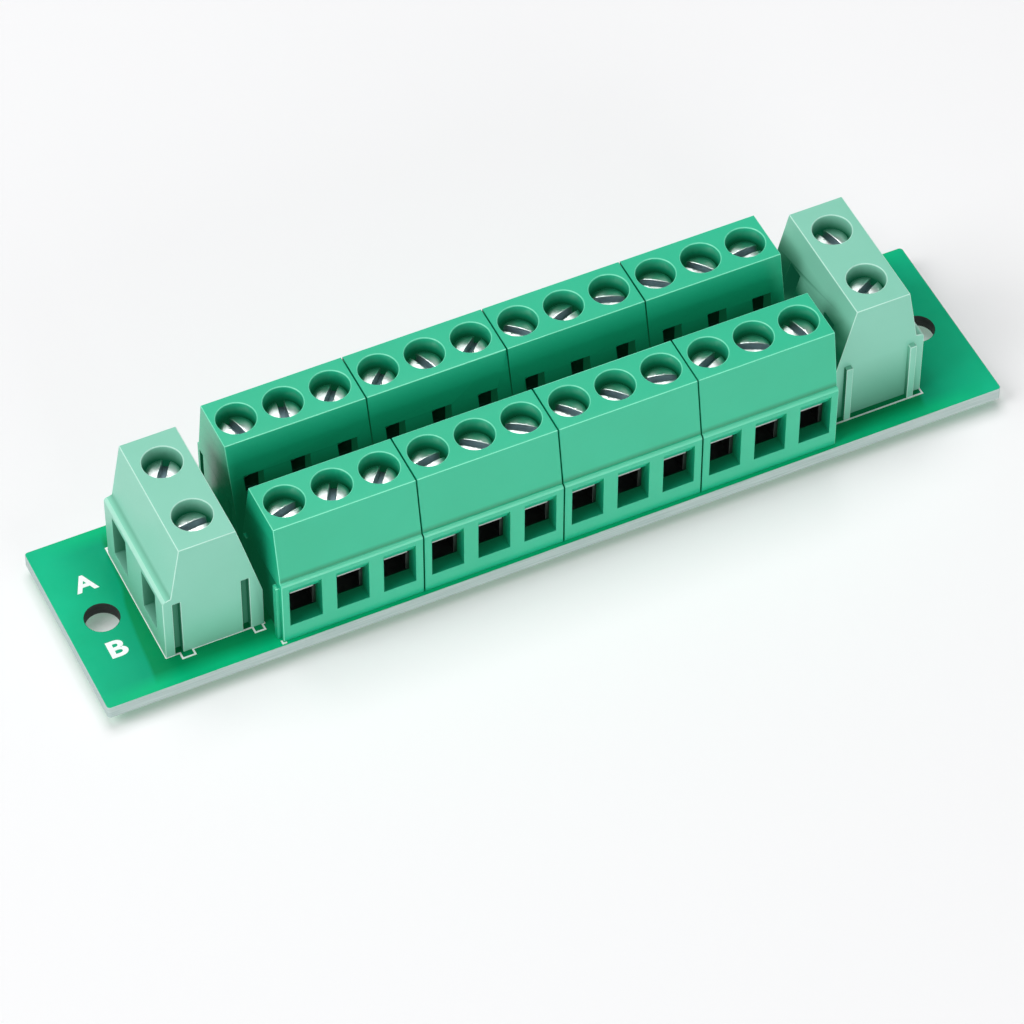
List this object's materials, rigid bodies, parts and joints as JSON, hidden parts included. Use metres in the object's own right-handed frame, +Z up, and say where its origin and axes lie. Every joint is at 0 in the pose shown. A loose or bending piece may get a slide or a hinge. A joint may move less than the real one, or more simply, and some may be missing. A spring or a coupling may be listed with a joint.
{
  "type": "terminal block board",
  "caption": "Distribution board with back-to-back rows of screw terminal blocks, a feed block at each end and two mounting holes; rising cage clamps.",
  "frame": {"origin": "midway between the two mounting holes, on the board's underside", "axes": "+X along the board, from the left feed block to the right one; +Y towards the back row; +Z up through the board, out of the screw heads"},
  "size_m": [0.0996, 0.022, 0.0181],
  "materials": {
    "board": "green solder mask on glass laminate, satin",
    "outlet_plastic": "moulded green plastic, satin",
    "feed_plastic": "moulded pale mint plastic, satin",
    "tinned_contact": "tinned copper alloy",
    "plated_screw": "bright zinc plated steel",
    "plated_cage": "dark nickel plated steel"
  },
  "bodies": {
    "base": {"circuit_board": "board", "outlet_housings": "outlet_plastic", "feed_housings": "feed_plastic", "contact_strips": "tinned_contact"},
    "outlet_screw_1": {"outlet_screw_1": "plated_screw"},
    "outlet_cage_1": {"outlet_cage_1": "plated_cage"},
    "outlet_screw_2": {"outlet_screw_2": "plated_screw"},
    "outlet_cage_2": {"outlet_cage_2": "plated_cage"},
    "outlet_screw_3": {"outlet_screw_3": "plated_screw"},
    "outlet_cage_3": {"outlet_cage_3": "plated_cage"},
    "outlet_screw_4": {"outlet_screw_4": "plated_screw"},
    "outlet_cage_4": {"outlet_cage_4": "plated_cage"},
    "outlet_screw_5": {"outlet_screw_5": "plated_screw"},
    "outlet_cage_5": {"outlet_cage_5": "plated_cage"},
    "outlet_screw_6": {"outlet_screw_6": "plated_screw"},
    "outlet_cage_6": {"outlet_cage_6": "plated_cage"},
    "outlet_screw_7": {"outlet_screw_7": "plated_screw"},
    "outlet_cage_7": {"outlet_cage_7": "plated_cage"},
    "outlet_screw_8": {"outlet_screw_8": "plated_screw"},
    "outlet_cage_8": {"outlet_cage_8": "plated_cage"},
    "outlet_screw_9": {"outlet_screw_9": "plated_screw"},
    "outlet_cage_9": {"outlet_cage_9": "plated_cage"},
    "outlet_screw_10": {"outlet_screw_10": "plated_screw"},
    "outlet_cage_10": {"outlet_cage_10": "plated_cage"},
    "outlet_screw_11": {"outlet_screw_11": "plated_screw"},
    "outlet_cage_11": {"outlet_cage_11": "plated_cage"},
    "outlet_screw_12": {"outlet_screw_12": "plated_screw"},
    "outlet_cage_12": {"outlet_cage_12": "plated_cage"},
    "outlet_screw_13": {"outlet_screw_13": "plated_screw"},
    "outlet_cage_13": {"outlet_cage_13": "plated_cage"},
    "outlet_screw_14": {"outlet_screw_14": "plated_screw"},
    "outlet_cage_14": {"outlet_cage_14": "plated_cage"},
    "outlet_screw_15": {"outlet_screw_15": "plated_screw"},
    "outlet_cage_15": {"outlet_cage_15": "plated_cage"},
    "outlet_screw_16": {"outlet_screw_16": "plated_screw"},
    "outlet_cage_16": {"outlet_cage_16": "plated_cage"},
    "outlet_screw_17": {"outlet_screw_17": "plated_screw"},
    "outlet_cage_17": {"outlet_cage_17": "plated_cage"},
    "outlet_screw_18": {"outlet_screw_18": "plated_screw"},
    "outlet_cage_18": {"outlet_cage_18": "plated_cage"},
    "outlet_screw_19": {"outlet_screw_19": "plated_screw"},
    "outlet_cage_19": {"outlet_cage_19": "plated_cage"},
    "outlet_screw_20": {"outlet_screw_20": "plated_screw"},
    "outlet_cage_20": {"outlet_cage_20": "plated_cage"},
    "outlet_screw_21": {"outlet_screw_21": "plated_screw"},
    "outlet_cage_21": {"outlet_cage_21": "plated_cage"},
    "outlet_screw_22": {"outlet_screw_22": "plated_screw"},
    "outlet_cage_22": {"outlet_cage_22": "plated_cage"},
    "outlet_screw_23": {"outlet_screw_23": "plated_screw"},
    "outlet_cage_23": {"outlet_cage_23": "plated_cage"},
    "outlet_screw_24": {"outlet_screw_24": "plated_screw"},
    "outlet_cage_24": {"outlet_cage_24": "plated_cage"},
    "feed_screw_1": {"feed_screw_1": "plated_screw"},
    "feed_cage_1": {"feed_cage_1": "plated_cage"},
    "feed_screw_2": {"feed_screw_2": "plated_screw"},
    "feed_cage_2": {"feed_cage_2": "plated_cage"},
    "feed_screw_3": {"feed_screw_3": "plated_screw"},
    "feed_cage_3": {"feed_cage_3": "plated_cage"},
    "feed_screw_4": {"feed_screw_4": "plated_screw"},
    "feed_cage_4": {"feed_cage_4": "plated_cage"}
  },
  "joints": [
    {"name": "outlet_screw_1_turn", "type": "hinge", "parent": "base", "child": "outlet_screw_1", "pos_m": [-0.02818, -0.00595, 0.0015], "axis": [0, 0, -1], "range_deg": [0, 2160]},
    {"name": "outlet_cage_1_rise", "type": "slide", "parent": "base", "child": "outlet_cage_1", "axis": [0, 0, 1], "range_m": [0, 0.0027]},
    {"name": "outlet_screw_2_turn", "type": "hinge", "parent": "base", "child": "outlet_screw_2", "pos_m": [-0.0231, -0.00595, 0.0015], "axis": [0, 0, -1], "range_deg": [0, 2160]},
    {"name": "outlet_cage_2_rise", "type": "slide", "parent": "base", "child": "outlet_cage_2", "axis": [0, 0, 1], "range_m": [0, 0.0027]},
    {"name": "outlet_screw_3_turn", "type": "hinge", "parent": "base", "child": "outlet_screw_3", "pos_m": [-0.01802, -0.00595, 0.0015], "axis": [0, 0, -1], "range_deg": [0, 2160]},
    {"name": "outlet_cage_3_rise", "type": "slide", "parent": "base", "child": "outlet_cage_3", "axis": [0, 0, 1], "range_m": [0, 0.0027]},
    {"name": "outlet_screw_4_turn", "type": "hinge", "parent": "base", "child": "outlet_screw_4", "pos_m": [-0.01278, -0.00595, 0.0015], "axis": [0, 0, -1], "range_deg": [0, 2160]},
    {"name": "outlet_cage_4_rise", "type": "slide", "parent": "base", "child": "outlet_cage_4", "axis": [0, 0, 1], "range_m": [0, 0.0027]},
    {"name": "outlet_screw_5_turn", "type": "hinge", "parent": "base", "child": "outlet_screw_5", "pos_m": [-0.0077, -0.00595, 0.0015], "axis": [0, 0, -1], "range_deg": [0, 2160]},
    {"name": "outlet_cage_5_rise", "type": "slide", "parent": "base", "child": "outlet_cage_5", "axis": [0, 0, 1], "range_m": [0, 0.0027]},
    {"name": "outlet_screw_6_turn", "type": "hinge", "parent": "base", "child": "outlet_screw_6", "pos_m": [-0.00262, -0.00595, 0.0015], "axis": [0, 0, -1], "range_deg": [0, 2160]},
    {"name": "outlet_cage_6_rise", "type": "slide", "parent": "base", "child": "outlet_cage_6", "axis": [0, 0, 1], "range_m": [0, 0.0027]},
    {"name": "outlet_screw_7_turn", "type": "hinge", "parent": "base", "child": "outlet_screw_7", "pos_m": [0.00262, -0.00595, 0.0015], "axis": [0, 0, -1], "range_deg": [0, 2160]},
    {"name": "outlet_cage_7_rise", "type": "slide", "parent": "base", "child": "outlet_cage_7", "axis": [0, 0, 1], "range_m": [0, 0.0027]},
    {"name": "outlet_screw_8_turn", "type": "hinge", "parent": "base", "child": "outlet_screw_8", "pos_m": [0.0077, -0.00595, 0.0015], "axis": [0, 0, -1], "range_deg": [0, 2160]},
    {"name": "outlet_cage_8_rise", "type": "slide", "parent": "base", "child": "outlet_cage_8", "axis": [0, 0, 1], "range_m": [0, 0.0027]},
    {"name": "outlet_screw_9_turn", "type": "hinge", "parent": "base", "child": "outlet_screw_9", "pos_m": [0.01278, -0.00595, 0.0015], "axis": [0, 0, -1], "range_deg": [0, 2160]},
    {"name": "outlet_cage_9_rise", "type": "slide", "parent": "base", "child": "outlet_cage_9", "axis": [0, 0, 1], "range_m": [0, 0.0027]},
    {"name": "outlet_screw_10_turn", "type": "hinge", "parent": "base", "child": "outlet_screw_10", "pos_m": [0.01802, -0.00595, 0.0015], "axis": [0, 0, -1], "range_deg": [0, 2160]},
    {"name": "outlet_cage_10_rise", "type": "slide", "parent": "base", "child": "outlet_cage_10", "axis": [0, 0, 1], "range_m": [0, 0.0027]},
    {"name": "outlet_screw_11_turn", "type": "hinge", "parent": "base", "child": "outlet_screw_11", "pos_m": [0.0231, -0.00595, 0.0015], "axis": [0, 0, -1], "range_deg": [0, 2160]},
    {"name": "outlet_cage_11_rise", "type": "slide", "parent": "base", "child": "outlet_cage_11", "axis": [0, 0, 1], "range_m": [0, 0.0027]},
    {"name": "outlet_screw_12_turn", "type": "hinge", "parent": "base", "child": "outlet_screw_12", "pos_m": [0.02818, -0.00595, 0.0015], "axis": [0, 0, -1], "range_deg": [0, 2160]},
    {"name": "outlet_cage_12_rise", "type": "slide", "parent": "base", "child": "outlet_cage_12", "axis": [0, 0, 1], "range_m": [0, 0.0027]},
    {"name": "outlet_screw_13_turn", "type": "hinge", "parent": "base", "child": "outlet_screw_13", "pos_m": [-0.01802, 0.00595, 0.0015], "axis": [0, 0, -1], "range_deg": [0, 2160]},
    {"name": "outlet_cage_13_rise", "type": "slide", "parent": "base", "child": "outlet_cage_13", "axis": [0, 0, 1], "range_m": [0, 0.0027]},
    {"name": "outlet_screw_14_turn", "type": "hinge", "parent": "base", "child": "outlet_screw_14", "pos_m": [-0.0231, 0.00595, 0.0015], "axis": [0, 0, -1], "range_deg": [0, 2160]},
    {"name": "outlet_cage_14_rise", "type": "slide", "parent": "base", "child": "outlet_cage_14", "axis": [0, 0, 1], "range_m": [0, 0.0027]},
    {"name": "outlet_screw_15_turn", "type": "hinge", "parent": "base", "child": "outlet_screw_15", "pos_m": [-0.02818, 0.00595, 0.0015], "axis": [0, 0, -1], "range_deg": [0, 2160]},
    {"name": "outlet_cage_15_rise", "type": "slide", "parent": "base", "child": "outlet_cage_15", "axis": [0, 0, 1], "range_m": [0, 0.0027]},
    {"name": "outlet_screw_16_turn", "type": "hinge", "parent": "base", "child": "outlet_screw_16", "pos_m": [-0.00262, 0.00595, 0.0015], "axis": [0, 0, -1], "range_deg": [0, 2160]},
    {"name": "outlet_cage_16_rise", "type": "slide", "parent": "base", "child": "outlet_cage_16", "axis": [0, 0, 1], "range_m": [0, 0.0027]},
    {"name": "outlet_screw_17_turn", "type": "hinge", "parent": "base", "child": "outlet_screw_17", "pos_m": [-0.0077, 0.00595, 0.0015], "axis": [0, 0, -1], "range_deg": [0, 2160]},
    {"name": "outlet_cage_17_rise", "type": "slide", "parent": "base", "child": "outlet_cage_17", "axis": [0, 0, 1], "range_m": [0, 0.0027]},
    {"name": "outlet_screw_18_turn", "type": "hinge", "parent": "base", "child": "outlet_screw_18", "pos_m": [-0.01278, 0.00595, 0.0015], "axis": [0, 0, -1], "range_deg": [0, 2160]},
    {"name": "outlet_cage_18_rise", "type": "slide", "parent": "base", "child": "outlet_cage_18", "axis": [0, 0, 1], "range_m": [0, 0.0027]},
    {"name": "outlet_screw_19_turn", "type": "hinge", "parent": "base", "child": "outlet_screw_19", "pos_m": [0.01278, 0.00595, 0.0015], "axis": [0, 0, -1], "range_deg": [0, 2160]},
    {"name": "outlet_cage_19_rise", "type": "slide", "parent": "base", "child": "outlet_cage_19", "axis": [0, 0, 1], "range_m": [0, 0.0027]},
    {"name": "outlet_screw_20_turn", "type": "hinge", "parent": "base", "child": "outlet_screw_20", "pos_m": [0.0077, 0.00595, 0.0015], "axis": [0, 0, -1], "range_deg": [0, 2160]},
    {"name": "outlet_cage_20_rise", "type": "slide", "parent": "base", "child": "outlet_cage_20", "axis": [0, 0, 1], "range_m": [0, 0.0027]},
    {"name": "outlet_screw_21_turn", "type": "hinge", "parent": "base", "child": "outlet_screw_21", "pos_m": [0.00262, 0.00595, 0.0015], "axis": [0, 0, -1], "range_deg": [0, 2160]},
    {"name": "outlet_cage_21_rise", "type": "slide", "parent": "base", "child": "outlet_cage_21", "axis": [0, 0, 1], "range_m": [0, 0.0027]},
    {"name": "outlet_screw_22_turn", "type": "hinge", "parent": "base", "child": "outlet_screw_22", "pos_m": [0.02818, 0.00595, 0.0015], "axis": [0, 0, -1], "range_deg": [0, 2160]},
    {"name": "outlet_cage_22_rise", "type": "slide", "parent": "base", "child": "outlet_cage_22", "axis": [0, 0, 1], "range_m": [0, 0.0027]},
    {"name": "outlet_screw_23_turn", "type": "hinge", "parent": "base", "child": "outlet_screw_23", "pos_m": [0.0231, 0.00595, 0.0015], "axis": [0, 0, -1], "range_deg": [0, 2160]},
    {"name": "outlet_cage_23_rise", "type": "slide", "parent": "base", "child": "outlet_cage_23", "axis": [0, 0, 1], "range_m": [0, 0.0027]},
    {"name": "outlet_screw_24_turn", "type": "hinge", "parent": "base", "child": "outlet_screw_24", "pos_m": [0.01802, 0.00595, 0.0015], "axis": [0, 0, -1], "range_deg": [0, 2160]},
    {"name": "outlet_cage_24_rise", "type": "slide", "parent": "base", "child": "outlet_cage_24", "axis": [0, 0, 1], "range_m": [0, 0.0027]},
    {"name": "feed_screw_1_turn", "type": "hinge", "parent": "base", "child": "feed_screw_1", "pos_m": [-0.037, 0.00377, 0.0015], "axis": [0, 0, -1], "range_deg": [0, 2160]},
    {"name": "feed_cage_1_rise", "type": "slide", "parent": "base", "child": "feed_cage_1", "axis": [0, 0, 1], "range_m": [0, 0.0027]},
    {"name": "feed_screw_2_turn", "type": "hinge", "parent": "base", "child": "feed_screw_2", "pos_m": [-0.037, -0.00377, 0.0015], "axis": [0, 0, -1], "range_deg": [0, 2160]},
    {"name": "feed_cage_2_rise", "type": "slide", "parent": "base", "child": "feed_cage_2", "axis": [0, 0, 1], "range_m": [0, 0.0027]},
    {"name": "feed_screw_3_turn", "type": "hinge", "parent": "base", "child": "feed_screw_3", "pos_m": [0.037, -0.00377, 0.0015], "axis": [0, 0, -1], "range_deg": [0, 2160]},
    {"name": "feed_cage_3_rise", "type": "slide", "parent": "base", "child": "feed_cage_3", "axis": [0, 0, 1], "range_m": [0, 0.0027]},
    {"name": "feed_screw_4_turn", "type": "hinge", "parent": "base", "child": "feed_screw_4", "pos_m": [0.037, 0.00377, 0.0015], "axis": [0, 0, -1], "range_deg": [0, 2160]},
    {"name": "feed_cage_4_rise", "type": "slide", "parent": "base", "child": "feed_cage_4", "axis": [0, 0, 1], "range_m": [0, 0.0027]}
  ],
  "couplings": [
    {"joint": "outlet_screw_1_turn", "follows": "outlet_cage_1_rise", "rad_per_m": 13963},
    {"joint": "outlet_screw_2_turn", "follows": "outlet_cage_2_rise", "rad_per_m": 13963},
    {"joint": "outlet_screw_3_turn", "follows": "outlet_cage_3_rise", "rad_per_m": 13963},
    {"joint": "outlet_screw_4_turn", "follows": "outlet_cage_4_rise", "rad_per_m": 13963},
    {"joint": "outlet_screw_5_turn", "follows": "outlet_cage_5_rise", "rad_per_m": 13963},
    {"joint": "outlet_screw_6_turn", "follows": "outlet_cage_6_rise", "rad_per_m": 13963},
    {"joint": "outlet_screw_7_turn", "follows": "outlet_cage_7_rise", "rad_per_m": 13963},
    {"joint": "outlet_screw_8_turn", "follows": "outlet_cage_8_rise", "rad_per_m": 13963},
    {"joint": "outlet_screw_9_turn", "follows": "outlet_cage_9_rise", "rad_per_m": 13963},
    {"joint": "outlet_screw_10_turn", "follows": "outlet_cage_10_rise", "rad_per_m": 13963},
    {"joint": "outlet_screw_11_turn", "follows": "outlet_cage_11_rise", "rad_per_m": 13963},
    {"joint": "outlet_screw_12_turn", "follows": "outlet_cage_12_rise", "rad_per_m": 13963},
    {"joint": "outlet_screw_13_turn", "follows": "outlet_cage_13_rise", "rad_per_m": 13963},
    {"joint": "outlet_screw_14_turn", "follows": "outlet_cage_14_rise", "rad_per_m": 13963},
    {"joint": "outlet_screw_15_turn", "follows": "outlet_cage_15_rise", "rad_per_m": 13963},
    {"joint": "outlet_screw_16_turn", "follows": "outlet_cage_16_rise", "rad_per_m": 13963},
    {"joint": "outlet_screw_17_turn", "follows": "outlet_cage_17_rise", "rad_per_m": 13963},
    {"joint": "outlet_screw_18_turn", "follows": "outlet_cage_18_rise", "rad_per_m": 13963},
    {"joint": "outlet_screw_19_turn", "follows": "outlet_cage_19_rise", "rad_per_m": 13963},
    {"joint": "outlet_screw_20_turn", "follows": "outlet_cage_20_rise", "rad_per_m": 13963},
    {"joint": "outlet_screw_21_turn", "follows": "outlet_cage_21_rise", "rad_per_m": 13963},
    {"joint": "outlet_screw_22_turn", "follows": "outlet_cage_22_rise", "rad_per_m": 13963},
    {"joint": "outlet_screw_23_turn", "follows": "outlet_cage_23_rise", "rad_per_m": 13963},
    {"joint": "outlet_screw_24_turn", "follows": "outlet_cage_24_rise", "rad_per_m": 13963},
    {"joint": "feed_screw_1_turn", "follows": "feed_cage_1_rise", "rad_per_m": 13963},
    {"joint": "feed_screw_2_turn", "follows": "feed_cage_2_rise", "rad_per_m": 13963},
    {"joint": "feed_screw_3_turn", "follows": "feed_cage_3_rise", "rad_per_m": 13963},
    {"joint": "feed_screw_4_turn", "follows": "feed_cage_4_rise", "rad_per_m": 13963}
  ]
}
